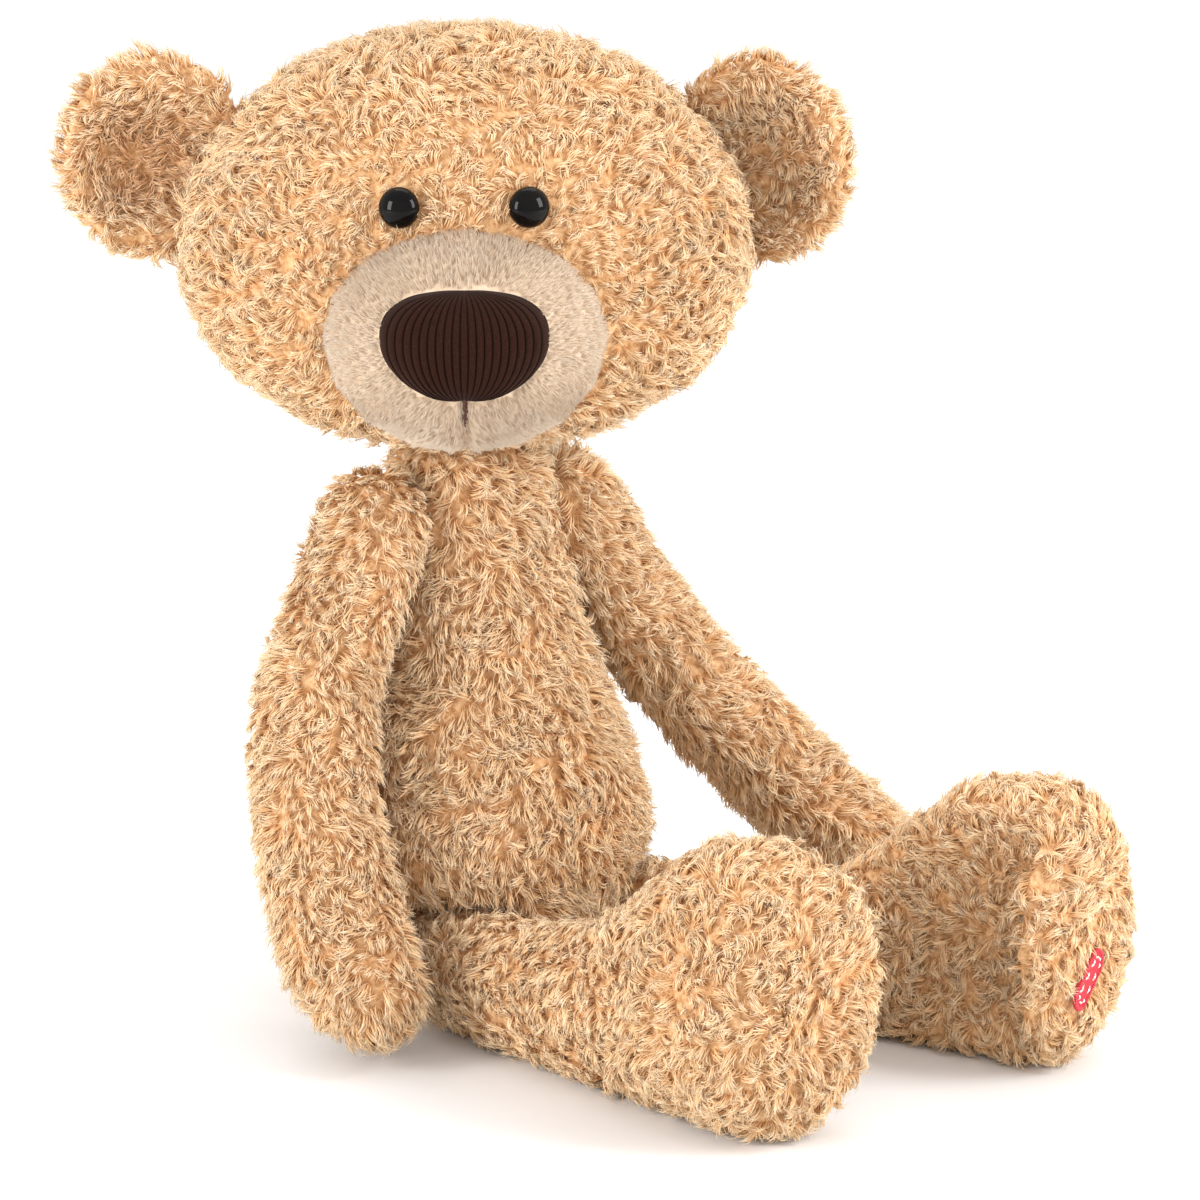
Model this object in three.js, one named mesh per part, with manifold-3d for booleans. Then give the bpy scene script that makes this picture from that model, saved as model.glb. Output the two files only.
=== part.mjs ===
// A jointed teddy bear, seated: millimetres, +Z up, +X to the bear's left, facing -Y.
// The origin is the middle of the flat seat. Every limb and the head turn on a disc joint.
import * as THREE from 'three';
import { mergeVertices } from 'three/addons/utils/BufferGeometryUtils.js';
import Module from 'manifold-3d';

const wasm = await Module();
wasm.setup();

// ---- driving dimensions ----
const COVER = 3; // plush cover, pile pressed flat
const GAP = 0.4; // between touching pieces
const SEAM = 0.4; // between two panels of one cover
const BIG = 400; // larger than the bear, for half spaces

const NECK_Z = 190;
const HEAD_TURN = -35; // degrees about +Z, the head looks over the right leg
const SHOULDER = { x: 25.5, y: -2, z: 160, slope: 12 };
const HIP = { x: 22, z: 20, y: { [-1]: 3, [1]: -14 } };
const RIGHT = -1;
const LEFT = 1;

const NECK_DISC = 14;
const ARM_DISC = 10;
const LEG_DISC = 11.5;
const DISC_THICK = 2.4;
const STUD_R = 2.6;
const STUD_HOLE_R = 3.1;
const WASHER_R = 6;
const WASHER_THICK = 1.4;
const STUD_TIP = 2; // how far a stud stands out of its lock washer

// Stations of a skin: position along the axis, centre and half width across it both ways.
const TORSO = {
  stations: [
    [0, 0, -2, 25, 33], [8, 0, -2, 31, 36], [20, 0, -3, 40, 41], [32, 0, -5, 48, 46],
    [44, 0, -7, 53, 49.5], [54, 0, -8, 54.5, 51], [64, 0, -9, 53.5, 50.5], [78, 0, -8, 49.5, 47],
    [97, 0, -6, 42.5, 40.5], [131, 0, -3, 33, 31], [160, 0, -1, 28, 26], [176, 0, 0, 25, 23],
    [188.6, 0, 0, 23, 21],
  ],
  start: { length: 7, share: 0.3 }, end: { length: 6, share: 0.25 }, sides: 18, rings: 8,
};
const HEAD = {
  stations: [
    [0.6, 0, 4, 44, 37], [10, 0, 2, 57, 43], [17, 0, 1, 68, 48], [27, 0, 0, 80, 53],
    [45, 0, 1, 89, 58], [62, 0, 2, 91, 61], [79, 0, 3, 88, 61], [95, 0, 4, 78, 56],
    [109, 0, 5, 64, 48], [129, 0, 5, 48, 36],
  ],
  start: { length: 8, share: 0.4 }, end: { length: 20, share: 1 }, sides: 18, rings: 8,
};
const RIGHT_ARM = {
  swing: 8,
  stations: [
    [-18, 12, 0, 17, 18], [0, 12, 0, 17, 18], [28, 22, 0, 17, 17.5], [56, 31, 0, 17.5, 18],
    [84, 31, 4, 18.5, 19.5], [106, 28, 8, 19, 22], [132, 24, 17, 19, 24], [164, 19, 31, 19, 25],
  ],
  start: { length: 18, share: 1 }, end: { length: 22, share: 1 }, sides: 11, rings: 6,
};
const LEFT_ARM = {
  swing: 15,
  stations: [
    [-15, 11, 0, 15.5, 16.5], [0, 11, 0, 16, 17], [30, 18, 0, 16.5, 17.5], [60, 28, 0, 17, 18],
    [95, 45, 0, 17.5, 19.5], [135, 67, 0, 18, 21.5], [183, 94, 0, 18.5, 22.5],
  ],
  start: { length: 18, share: 1 }, end: { length: 22, share: 1 }, sides: 11, rings: 6,
};
const LEG = {
  stations: [
    [-19, 11, 0, 17, 19], [0, 11, 0, 17, 19], [35, 12, 0.5, 18.5, 19.5], [70, 15, 1, 20, 20],
    [98, 14, 3, 22, 23], [120, 13.5, 10, 26.5, 29.8], [138, 13, 18.5, 31.5, 38.2], [152, 13, 24.5, 34.5, 44.2],
    [170, 13, 27, 36.5, 46.7], [199, 13, 26, 35, 45.7],
  ],
  start: { length: 19, share: 1 }, end: { length: 20, share: 0.5 }, sides: 12, rings: 8,
};
const LEG_SPLAY = { [RIGHT]: -9, [LEFT]: 22.5 };
const SOLE_FROM = 186; // the sole panel starts this far from the hip
const HIP_NOTCH_TOP = 23.5; // the belly's underside, above the hip's middle

// The face, in the head's own frame: x to the bear's left, -y forward, z above the neck.
const MUZZLE = { at: [0, -51, 43], half: [44, 43, 35.5] };
const NOSE = { at: [0, -87, 47.5], half: [26.5, 13, 17.5] };
const MOUTH = { top: 30, bottom: 22, radius: 0.9 };
const EYE = { x: 20, z: 85, radius: 6.6, lift: 0.9, dome: 4.8, stem: 1.6, stemLength: 9 };
const EYE_WASHER = { radius: 5, thick: 1.5 };
const EARS = {
  [RIGHT]: { at: [-100, 6, 89], yaw: 6 },
  [LEFT]: { at: [95, 8, 87], yaw: 22 },
};
const EAR = { half: [31, 7, 34], cup: 10, cover: 2.4 };
const PATCH = { width: 22, height: 9, thick: 1.2, up: 14, out: -9, tilt: 40 };

// ---- materials ----
const finish = (color, roughness, metalness = 0) => new THREE.MeshStandardMaterial({ color, roughness, metalness });
const FINISHES = {
  plush: () => finish(0xe1b987, 0.95),
  muzzle: () => finish(0xe8cfb2, 0.9),
  corduroy: () => finish(0x3c2016, 0.85),
  thread: () => finish(0x552d23, 0.8),
  filling: () => finish(0xf2efe8, 1),
  eye: () => finish(0x0a0a0c, 0.08),
  nylon: () => finish(0xdedad0, 0.5),
  patch: () => finish(0xc82837, 0.8),
};

// ---- solids ----
function toSolid(geometry) {
  const bare = geometry.clone();
  for (const name of Object.keys(bare.attributes)) {
    if (name !== 'position') bare.deleteAttribute(name);
  }
  const merged = mergeVertices(bare, 1e-4);
  return new wasm.Manifold(new wasm.Mesh({
    numProp: 3,
    vertProperties: new Float32Array(merged.attributes.position.array),
    triVerts: new Uint32Array(merged.index.array),
  }));
}

function toGeometry(solid) {
  const { vertProperties, triVerts } = solid.getMesh();
  const geometry = new THREE.BufferGeometry();
  geometry.setAttribute('position', new THREE.BufferAttribute(new Float32Array(vertProperties), 3));
  geometry.setIndex(new THREE.BufferAttribute(new Uint32Array(triVerts), 1));
  geometry.computeVertexNormals();
  return geometry;
}

function boxSolid(low, high) {
  const size = high.map((value, i) => value - low[i]);
  const middle = high.map((value, i) => (value + low[i]) / 2);
  return toSolid(new THREE.BoxGeometry(...size).translate(...middle));
}

// Everything on the high side (or low side) of a plane across one axis.
function beyond(axis, value, side = 1) {
  const low = [-BIG, -BIG, -BIG];
  const high = [BIG, BIG, BIG];
  if (side > 0) low[axis] = value;
  else high[axis] = value;
  return boxSolid(low, high);
}

// A solid turned about the local Z axis, from [radius, z] points that start and end on the axis.
function turned(points, segments = 14) {
  const profile = points.map(([r, z]) => new THREE.Vector2(r, z));
  const geometry = new THREE.LatheGeometry(profile, segments).rotateX(Math.PI / 2);
  return toSolid(geometry);
}

function rod(radius, from, to, segments = 14) {
  return turned([[0, from], [radius, from], [radius, to], [0, to]], segments);
}

function ring(outer, inner, from, to, segments = 14) {
  return rod(outer, from, to, segments).subtract(rod(inner, from - 1, to + 1, segments));
}

// Smooth value of one column of a station table.
function between(stations, s, column) {
  let i = stations.findIndex((row) => row[0] > s) - 1;
  if (i < 0) i = s <= stations[0][0] ? 0 : stations.length - 2;
  const slope = (k) => {
    const a = stations[Math.max(k - 1, 0)];
    const b = stations[Math.min(k + 1, stations.length - 1)];
    return (b[column] - a[column]) / (b[0] - a[0]);
  };
  const [p, q] = [stations[i], stations[i + 1]];
  const span = q[0] - p[0];
  const t = THREE.MathUtils.clamp((s - p[0]) / span, 0, 1);
  const [t2, t3] = [t * t, t * t * t];
  return (2 * t3 - 3 * t2 + 1) * p[column] + (t3 - 2 * t2 + t) * span * slope(i)
    + (3 * t2 - 2 * t3) * q[column] + (t3 - t2) * span * slope(i + 1);
}

// Rings of a skin: place along the axis and the share of the half widths left by the end caps.
function ringPlan(skin, first, last) {
  const capRings = 3;
  const plan = [];
  for (let i = 0; i < capRings; i += 1) {
    const turn = (Math.PI / 2) * ((i + (skin.start.share < 1 ? 0 : 0.5)) / capRings);
    plan.push([first + skin.start.length * (1 - Math.cos(turn)), 1 - skin.start.share * (1 - Math.sin(turn))]);
  }
  const [from, to] = [first + skin.start.length, last - skin.end.length];
  for (let i = 0; i <= skin.rings - 1; i += 1) plan.push([from + ((to - from) * i) / (skin.rings - 1), 1]);
  for (let i = capRings - 1; i >= 0; i -= 1) {
    const turn = (Math.PI / 2) * ((i + (skin.end.share < 1 ? 0 : 0.5)) / capRings);
    plan.push([last - skin.end.length * (1 - Math.cos(turn)), 1 - skin.end.share * (1 - Math.sin(turn))]);
  }
  return plan;
}

// A closed skin through the stations. `place` maps (along, across, across) to a point.
function loft(skin, inset, place) {
  const { stations, sides } = skin;
  const [first, last] = [stations[0][0] + inset, stations.at(-1)[0] - inset];
  const plan = ringPlan(skin, first, last);
  const points = [];
  for (const [s, share] of plan) {
    const [cx, cy, ax, ay] = [1, 2, 3, 4].map((column) => between(stations, s, column));
    for (let k = 0; k < sides; k += 1) {
      const angle = (2 * Math.PI * k) / sides;
      points.push(place(s, cx + (ax - inset) * share * Math.cos(angle), cy + (ay - inset) * share * Math.sin(angle)));
    }
  }
  points.push(place(first, between(stations, first, 1), between(stations, first, 2)));
  points.push(place(last, between(stations, last, 1), between(stations, last, 2)));
  const faces = [];
  for (let r = 0; r < plan.length - 1; r += 1) {
    for (let k = 0; k < sides; k += 1) {
      const [a, b] = [r * sides + k, r * sides + ((k + 1) % sides)];
      faces.push(a, b, b + sides, a, b + sides, a + sides);
    }
  }
  const [head, tail] = [points.length - 2, points.length - 1];
  for (let k = 0; k < sides; k += 1) {
    const next = (k + 1) % sides;
    faces.push(head, next, k);
    faces.push(tail, (plan.length - 1) * sides + k, (plan.length - 1) * sides + next);
  }
  const geometry = new THREE.BufferGeometry().setFromPoints(points.map((p) => new THREE.Vector3(...p)));
  geometry.setIndex(faces);
  const solid = toSolid(geometry);
  if (solid.volume() > 0) return solid;
  for (let i = 0; i < faces.length; i += 3) [faces[i], faces[i + 1]] = [faces[i + 1], faces[i]];
  geometry.setIndex(faces);
  return toSolid(geometry);
}

function ellipsoid(at, half, inset = 0, segments = [16, 10]) {
  const geometry = new THREE.SphereGeometry(1, ...segments);
  return toSolid(geometry.scale(...half.map((value) => value - inset)).translate(...at));
}

// ---- scene graph ----
const bear = new THREE.Group();

function frameGroup(origin, xAxis, zAxis) {
  const group = new THREE.Group();
  const yAxis = new THREE.Vector3().crossVectors(zAxis, xAxis);
  group.quaternion.setFromRotationMatrix(new THREE.Matrix4().makeBasis(xAxis, yAxis, zAxis));
  group.position.copy(origin);
  bear.add(group);
  return group;
}

function piece(group, name, solid, finishName) {
  const mesh = new THREE.Mesh(toGeometry(solid), FINISHES[finishName]());
  mesh.name = name;
  group.add(mesh);
}

// The frame of a limb: x along the limb, z out of the torso along the stud.
function shoulderFrame(side, swing) {
  const slope = THREE.MathUtils.degToRad(SHOULDER.slope);
  const out = new THREE.Vector3(side * Math.cos(slope), 0, Math.sin(slope));
  const down = new THREE.Vector3(side * Math.sin(slope), 0, -Math.cos(slope));
  const forward = new THREE.Vector3(0, -1, 0);
  const turn = THREE.MathUtils.degToRad(swing);
  const along = down.multiplyScalar(Math.cos(turn)).addScaledVector(forward, Math.sin(turn));
  return { origin: new THREE.Vector3(side * SHOULDER.x, SHOULDER.y, SHOULDER.z), along, out };
}

function hipFrame(side) {
  const splay = THREE.MathUtils.degToRad(LEG_SPLAY[side]);
  return {
    origin: new THREE.Vector3(side * HIP.x, HIP.y[side], HIP.z),
    along: new THREE.Vector3(side * Math.sin(splay), -Math.cos(splay), 0),
    out: new THREE.Vector3(side * Math.cos(splay), Math.sin(splay), 0),
  };
}

function neckFrame() {
  return { origin: new THREE.Vector3(0, 0, NECK_Z), along: new THREE.Vector3(1, 0, 0), out: new THREE.Vector3(0, 0, 1) };
}

// Moves a solid made in a limb's frame to the bear's frame.
function intoBear(solid, frame) {
  const across = new THREE.Vector3().crossVectors(frame.out, frame.along);
  const matrix = new THREE.Matrix4().makeBasis(frame.along, across, frame.out).setPosition(frame.origin);
  return toSolid(toGeometry(solid).applyMatrix4(matrix));
}

// ---- disc joints ----
// The disc and stud ride in the limb or head; the counter disc and lock washer in the torso.
function discWithStud(radius) {
  const inner = GAP + COVER + GAP;
  const tip = -(COVER + GAP + DISC_THICK + GAP + WASHER_THICK + STUD_TIP);
  return rod(radius, inner, inner + DISC_THICK).add(rod(STUD_R, tip, inner + 0.1, 10));
}

function counterDisc(radius) {
  const face = -(COVER + GAP);
  return ring(radius, STUD_HOLE_R, face - DISC_THICK, face);
}

function lockWasher() {
  const face = -(COVER + GAP + DISC_THICK + GAP);
  return ring(WASHER_R, STUD_HOLE_R, face - WASHER_THICK, face, 10);
}

// The room that the torso filling leaves round a joint's inner parts.
function innerPocket(radius) {
  const depth = COVER + 2 * GAP + DISC_THICK + WASHER_THICK + STUD_TIP + 2 * GAP;
  return rod(radius + GAP, -depth, 1);
}

// ---- limbs ----
// Splits a limb's cover along its own curved middle, as its seam runs.
function seamBlade(skin, side, shift) {
  const outline = new THREE.Shape();
  const [first, last] = [skin.stations[0][0] - 5, skin.stations.at(-1)[0] + 5];
  outline.moveTo(first, side * BIG);
  outline.lineTo(last, side * BIG);
  const steps = 9;
  for (let i = steps; i >= 0; i -= 1) {
    const s = first + ((last - first) * i) / steps;
    outline.lineTo(s, between(skin.stations, s, 1) + side * shift);
  }
  outline.closePath();
  const geometry = new THREE.ExtrudeGeometry(outline, { depth: 2 * BIG, bevelEnabled: false });
  return toSolid(geometry.translate(0, 0, -BIG).rotateX(Math.PI / 2));
}

function limbSolids(skin, side, discRadius) {
  const place = (s, w, v) => [s, side === RIGHT ? v : -v, w];
  const cut = (inset, plane) => loft(skin, inset, place).intersect(beyond(2, plane));
  const outer = cut(0, GAP);
  const cover = outer.subtract(cut(COVER, GAP + COVER)).subtract(rod(STUD_HOLE_R, -5, 10, 12))
    .subtract(rod(discRadius + GAP, GAP + COVER, GAP + COVER + 4));
  const pocket = rod(discRadius + GAP, -5, 2 * GAP + COVER + DISC_THICK + GAP);
  return {
    outerPanel: cover.intersect(seamBlade(skin, 1, SEAM / 2)),
    innerPanel: cover.intersect(seamBlade(skin, -1, SEAM / 2)),
    filling: cut(COVER + GAP, COVER + 2 * GAP).subtract(pocket),
  };
}

function addArm(side, name, skin) {
  const { origin, along, out } = shoulderFrame(side, skin.swing);
  const group = frameGroup(origin, along, out);
  const { outerPanel, innerPanel, filling } = limbSolids(skin, side, ARM_DISC);
  piece(group, `${name}_outer_panel`, outerPanel, 'plush');
  piece(group, `${name}_inner_panel`, innerPanel, 'plush');
  piece(group, `${name}_stuffing`, filling, 'filling');
  piece(group, `${name}_disc`, discWithStud(ARM_DISC), 'nylon');
}

function addLeg(side, name) {
  const { origin, along, out } = hipFrame(side);
  const group = frameGroup(origin, along, out);
  const { outerPanel, innerPanel, filling } = limbSolids(LEG, side, LEG_DISC);
  const shank = beyond(0, SOLE_FROM - SEAM / 2, -1);
  piece(group, `${name}_outer_panel`, outerPanel.intersect(shank), 'plush');
  piece(group, `${name}_inner_panel`, innerPanel.intersect(shank), 'plush');
  const place = (s, w, v) => [s, side === RIGHT ? v : -v, w];
  const foot = loft(LEG, 0, place).subtract(loft(LEG, COVER, place));
  piece(group, `${name}_sole`, foot.intersect(beyond(0, SOLE_FROM + SEAM / 2)), 'plush');
  piece(group, `${name}_stuffing`, filling, 'filling');
  piece(group, `${name}_disc`, discWithStud(LEG_DISC), 'nylon');
  return group;
}

// A small sewn patch with round ends, flat on the left sole.
function addPatch(group) {
  const half = PATCH.width / 2 - PATCH.height / 2;
  const outline = new THREE.Shape();
  outline.absarc(half, 0, PATCH.height / 2, -Math.PI / 2, Math.PI / 2);
  outline.absarc(-half, 0, PATCH.height / 2, Math.PI / 2, (3 * Math.PI) / 2);
  const geometry = new THREE.ExtrudeGeometry(outline, { depth: PATCH.thick, bevelEnabled: false, curveSegments: 8 });
  geometry.rotateZ(THREE.MathUtils.degToRad(PATCH.tilt)).rotateY(Math.PI / 2);
  geometry.translate(LEG.stations.at(-1)[0] + GAP, -PATCH.up, LEG.stations.at(-1)[1] + PATCH.out);
  piece(group, 'foot_patch', toSolid(geometry), 'patch');
}

// ---- torso ----
function addTorso() {
  const place = (s, x, y) => [x, y, s];
  const joints = [
    { name: 'right_shoulder', frame: shoulderFrame(RIGHT, 0), radius: ARM_DISC, notch: null },
    { name: 'left_shoulder', frame: shoulderFrame(LEFT, 0), radius: ARM_DISC, notch: null },
    { name: 'right_hip', frame: hipFrame(RIGHT), radius: LEG_DISC, notch: RIGHT },
    { name: 'left_hip', frame: hipFrame(LEFT), radius: LEG_DISC, notch: LEFT },
    { name: 'neck', frame: neckFrame(), radius: NECK_DISC, notch: null },
  ];
  const shaped = (inset) => {
    let body = loft(TORSO, inset, place);
    for (const { frame, notch } of joints.slice(0, 4)) {
      const top = HIP_NOTCH_TOP + inset;
      const low = notch === LEFT ? -top : -BIG;
      const high = notch === RIGHT ? top : BIG;
      const room = notch === null ? boxSolid([-30, -BIG, -inset], [30, BIG, BIG]) : boxSolid([-BIG, low, -inset], [BIG, high, BIG]);
      body = body.subtract(intoBear(room, frame));
    }
    return body;
  };
  let cover = shaped(0).subtract(shaped(COVER));
  let filling = shaped(COVER + GAP);
  for (const { name, frame, radius } of joints) {
    cover = cover.subtract(intoBear(rod(STUD_HOLE_R, -COVER - 3, 5, 12), frame));
    cover = cover.subtract(intoBear(rod(radius + GAP, -COVER - 12, -COVER), frame));
    filling = filling.subtract(intoBear(innerPocket(radius), frame));
    piece(bear, `${name}_counter_disc`, intoBear(counterDisc(radius), frame), 'nylon');
    piece(bear, `${name}_lock_washer`, intoBear(lockWasher(), frame), 'nylon');
  }
  const SIDE_SEAM_Y = -2;
  for (const [sideName, side] of [['right', -1], ['left', 1]]) {
    const half = cover.intersect(beyond(0, (side * SEAM) / 2, side));
    piece(bear, `torso_front_${sideName}_panel`, half.intersect(beyond(1, SIDE_SEAM_Y - SEAM / 2, -1)), 'plush');
    piece(bear, `torso_back_${sideName}_panel`, half.intersect(beyond(1, SIDE_SEAM_Y + SEAM / 2)), 'plush');
  }
  piece(bear, 'torso_stuffing', filling, 'filling');
}

// ---- head ----
function eyeFrame(side) {
  const out = new THREE.Vector3(side * 0.28, -1, 0.12).normalize();
  const along = new THREE.Vector3(0, 0, 1).addScaledVector(out, -out.z).normalize();
  const t = EYE.x / between(HEAD.stations, EYE.z, 3);
  const front = between(HEAD.stations, EYE.z, 2) - between(HEAD.stations, EYE.z, 4) * Math.sqrt(1 - t * t);
  return { origin: new THREE.Vector3(side * EYE.x, front, EYE.z), along, out };
}

function eyeSolid() {
  const rim = EYE.lift + 0.8;
  const points = [[0, -EYE.stemLength], [EYE.stem, -EYE.stemLength], [EYE.stem, EYE.lift], [EYE.radius, EYE.lift], [EYE.radius, rim]];
  for (let i = 1; i <= 4; i += 1) {
    const turn = (Math.PI / 2) * (i / 4);
    points.push([i === 4 ? 0 : EYE.radius * Math.cos(turn), rim + EYE.dome * Math.sin(turn)]);
  }
  return turned(points, 14);
}

// A cupped lens: a flattened ellipsoid whose middle is pushed back.
function earLens(side, inset) {
  const { at, yaw } = EARS[side];
  const geometry = new THREE.SphereGeometry(1, 16, 8);
  const position = geometry.attributes.position;
  for (let i = 0; i < position.count; i += 1) {
    const [x, y, z] = [position.getX(i), position.getY(i), position.getZ(i)];
    const bowl = EAR.cup * (1 - x * x - z * z);
    position.setXYZ(i, x * (EAR.half[0] - inset), y * (EAR.half[1] - inset) + bowl, z * (EAR.half[2] - inset));
  }
  geometry.rotateZ(THREE.MathUtils.degToRad(-side * yaw)).translate(...at);
  return toSolid(geometry);
}

// The sheet down the middle of an ear, where its front and back panels meet.
function earSplit(side, facing) {
  const { at, yaw } = EARS[side];
  const steps = 8;
  const reach = 1.6;
  const geometry = new THREE.BoxGeometry(2 * reach, 2, 2 * reach, steps, 1, steps);
  const position = geometry.attributes.position;
  for (let i = 0; i < position.count; i += 1) {
    const [x, y, z] = [position.getX(i), position.getY(i), position.getZ(i)];
    const bowl = EAR.cup * (1 - x * x - z * z);
    const near = facing * y > 0 ? facing * 60 : (facing * SEAM) / 2;
    position.setXYZ(i, x * EAR.half[0], near + bowl, z * EAR.half[2]);
  }
  geometry.rotateZ(THREE.MathUtils.degToRad(-side * yaw)).translate(...at);
  return toSolid(geometry);
}

function addHead() {
  const group = new THREE.Group();
  group.position.set(0, 0, NECK_Z);
  group.rotation.z = THREE.MathUtils.degToRad(HEAD_TURN);
  bear.add(group);
  const place = (s, x, y) => [x, y, s];
  const skull = loft(HEAD, 0, place);
  const clearSkull = loft(HEAD, -GAP, place);
  let cover = skull.subtract(loft(HEAD, COVER, place)).subtract(rod(STUD_HOLE_R, -5, 10, 16));
  let filling = loft(HEAD, COVER + GAP, place).subtract(rod(NECK_DISC + GAP, -5, COVER + 3 * GAP + DISC_THICK + 0.6, 20));
  for (const [sideName, side] of [['right', RIGHT], ['left', LEFT]]) {
    const frame = eyeFrame(side);
    cover = cover.subtract(intoBear(rod(EYE.stem + 0.4, -8, 4, 10), frame));
    cover = cover.subtract(intoBear(rod(EYE_WASHER.radius + GAP, -COVER - 9, -COVER, 12), frame));
    const washer = ring(EYE_WASHER.radius, EYE.stem + 0.3, -COVER - GAP - EYE_WASHER.thick, -COVER - GAP, 10);
    filling = filling.subtract(intoBear(rod(EYE_WASHER.radius + 0.5, -EYE.stemLength - 1, 1, 12), frame));
    piece(group, `${sideName}_eye`, intoBear(eyeSolid(), frame), 'eye');
    piece(group, `${sideName}_eye_washer`, intoBear(washer, frame), 'nylon');
    const ear = earLens(side, 0).subtract(earLens(side, EAR.cover)).subtract(clearSkull);
    piece(group, `${sideName}_ear_front_panel`, ear.intersect(earSplit(side, -1)), 'plush');
    piece(group, `${sideName}_ear_back_panel`, ear.intersect(earSplit(side, 1)), 'plush');
  }
  piece(group, 'head_right_panel', cover.intersect(beyond(0, -SEAM / 2, -1)), 'plush');
  piece(group, 'head_left_panel', cover.intersect(beyond(0, SEAM / 2)), 'plush');
  piece(group, 'head_stuffing', filling, 'filling');
  addMuzzle(group, clearSkull);
  piece(group, 'neck_disc', discWithStud(NECK_DISC), 'nylon');
}

function addMuzzle(group, clearSkull) {
  const outer = ellipsoid(MUZZLE.at, MUZZLE.half);
  const inner = ellipsoid(MUZZLE.at, MUZZLE.half, COVER);
  const muzzle = outer.subtract(inner).subtract(clearSkull);
  piece(group, 'muzzle_cover', muzzle, 'muzzle');
  piece(group, 'muzzle_stuffing', ellipsoid(MUZZLE.at, MUZZLE.half, COVER + GAP).subtract(clearSkull), 'filling');
  const clearMuzzle = ellipsoid(MUZZLE.at, MUZZLE.half, -GAP);
  piece(group, 'nose_pad', ellipsoid(NOSE.at, NOSE.half).subtract(clearMuzzle), 'corduroy');
  piece(group, 'mouth_stitch', mouthStitch(), 'thread');
}

// A thread lying on the muzzle below the nose.
function mouthStitch() {
  const [cy, cz] = [MUZZLE.at[1], MUZZLE.at[2]];
  const points = [];
  for (let i = 0; i <= 4; i += 1) {
    const z = THREE.MathUtils.lerp(MOUTH.top, MOUTH.bottom, i / 4);
    const rise = (z - cz) / MUZZLE.half[2];
    const y = cy - MUZZLE.half[1] * Math.sqrt(1 - rise * rise) - MOUTH.radius - GAP;
    points.push(new THREE.Vector3(0, y, z));
  }
  const section = new THREE.Shape().absarc(0, 0, MOUTH.radius, 0, 2 * Math.PI);
  const path = new THREE.CatmullRomCurve3(points);
  return toSolid(new THREE.ExtrudeGeometry(section, { steps: 6, extrudePath: path, curveSegments: 4, bevelEnabled: false }));
}

addTorso();
addHead();
addArm(RIGHT, 'right_arm', RIGHT_ARM);
addArm(LEFT, 'left_arm', LEFT_ARM);
addLeg(RIGHT, 'right_leg');
addPatch(addLeg(LEFT, 'left_leg'));

export default bear;
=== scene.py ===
# The looks of a jointed teddy bear: plush fur, pale muzzle, corduroy nose, glossy eyes and a sewn patch.
# Metres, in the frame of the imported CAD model. Every place comes from the CAD nodes and joints.
import math
import bmesh
import bpy
import numpy as np
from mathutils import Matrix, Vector
from mathutils.bvhtree import BVHTree


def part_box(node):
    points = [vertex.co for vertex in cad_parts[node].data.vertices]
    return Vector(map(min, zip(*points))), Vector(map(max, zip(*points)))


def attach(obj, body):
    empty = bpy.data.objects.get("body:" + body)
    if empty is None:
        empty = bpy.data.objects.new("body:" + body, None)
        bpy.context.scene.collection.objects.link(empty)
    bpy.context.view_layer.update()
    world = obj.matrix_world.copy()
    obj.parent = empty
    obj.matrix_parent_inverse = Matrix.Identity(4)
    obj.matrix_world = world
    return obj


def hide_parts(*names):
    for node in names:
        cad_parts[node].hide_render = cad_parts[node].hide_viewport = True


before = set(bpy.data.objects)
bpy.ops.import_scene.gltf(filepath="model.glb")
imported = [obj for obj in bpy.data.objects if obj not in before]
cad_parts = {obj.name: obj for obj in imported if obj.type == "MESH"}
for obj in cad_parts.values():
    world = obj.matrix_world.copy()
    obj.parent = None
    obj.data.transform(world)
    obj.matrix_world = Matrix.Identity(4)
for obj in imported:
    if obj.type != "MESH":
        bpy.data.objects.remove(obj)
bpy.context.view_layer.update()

MM = 0.001
UP = np.array([0.0, 0.0, 1.0])
PIECE_TRIANGLES = 180000  # the most that one fur piece holds
CLOSE_PILE = 2.2 * MM  # pile left where two covers touch
SHORTEST_PILE = 0.8 * MM
SEAM_REACH = 8 * MM  # how far from a seam the pile is shortened
SEAM_SHARE = 0.76  # length of the pile right at a seam
PILE_SPREAD = (0.82, 1.15)  # tuft lengths, as shares of the cover's own
WANDER_LENGTH = 34 * MM  # how far apart the comb's slow turns are
EAR_PILE = 8.4 * MM
MUZZLE_PILE = 4.3 * MM
TORSO_PILE = 8.8 * MM
ARM_PILE = 8.3 * MM
LEG_PILE = 7.8 * MM
FLOOR_CLEAR = 0.0004  # the lowest that a fibre hangs above the floor

# ---- camera, light and floor ----
CAMERA_AZIMUTH = -36.0
CAMERA_ELEVATION = 16.0
CAMERA_DISTANCE = 1.9
FIELD_WIDTH = 0.396  # width of the picture at the bear's distance
SENSOR = 36.0
TARGET_RIGHT = 0.0436  # the picture's middle, to the right of the neck
TARGET_UP = 0.131


def direction(azimuth, elevation):
    """Unit vector from the bear towards a camera or lamp."""
    a = math.radians(azimuth)
    e = math.radians(elevation)
    return np.array([math.sin(a) * math.cos(e), -math.cos(a) * math.cos(e), math.sin(e)])


def look_at(obj, target):
    way = Vector(target) - obj.location
    obj.rotation_euler = way.to_track_quat("-Z", "Y").to_euler()


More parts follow.
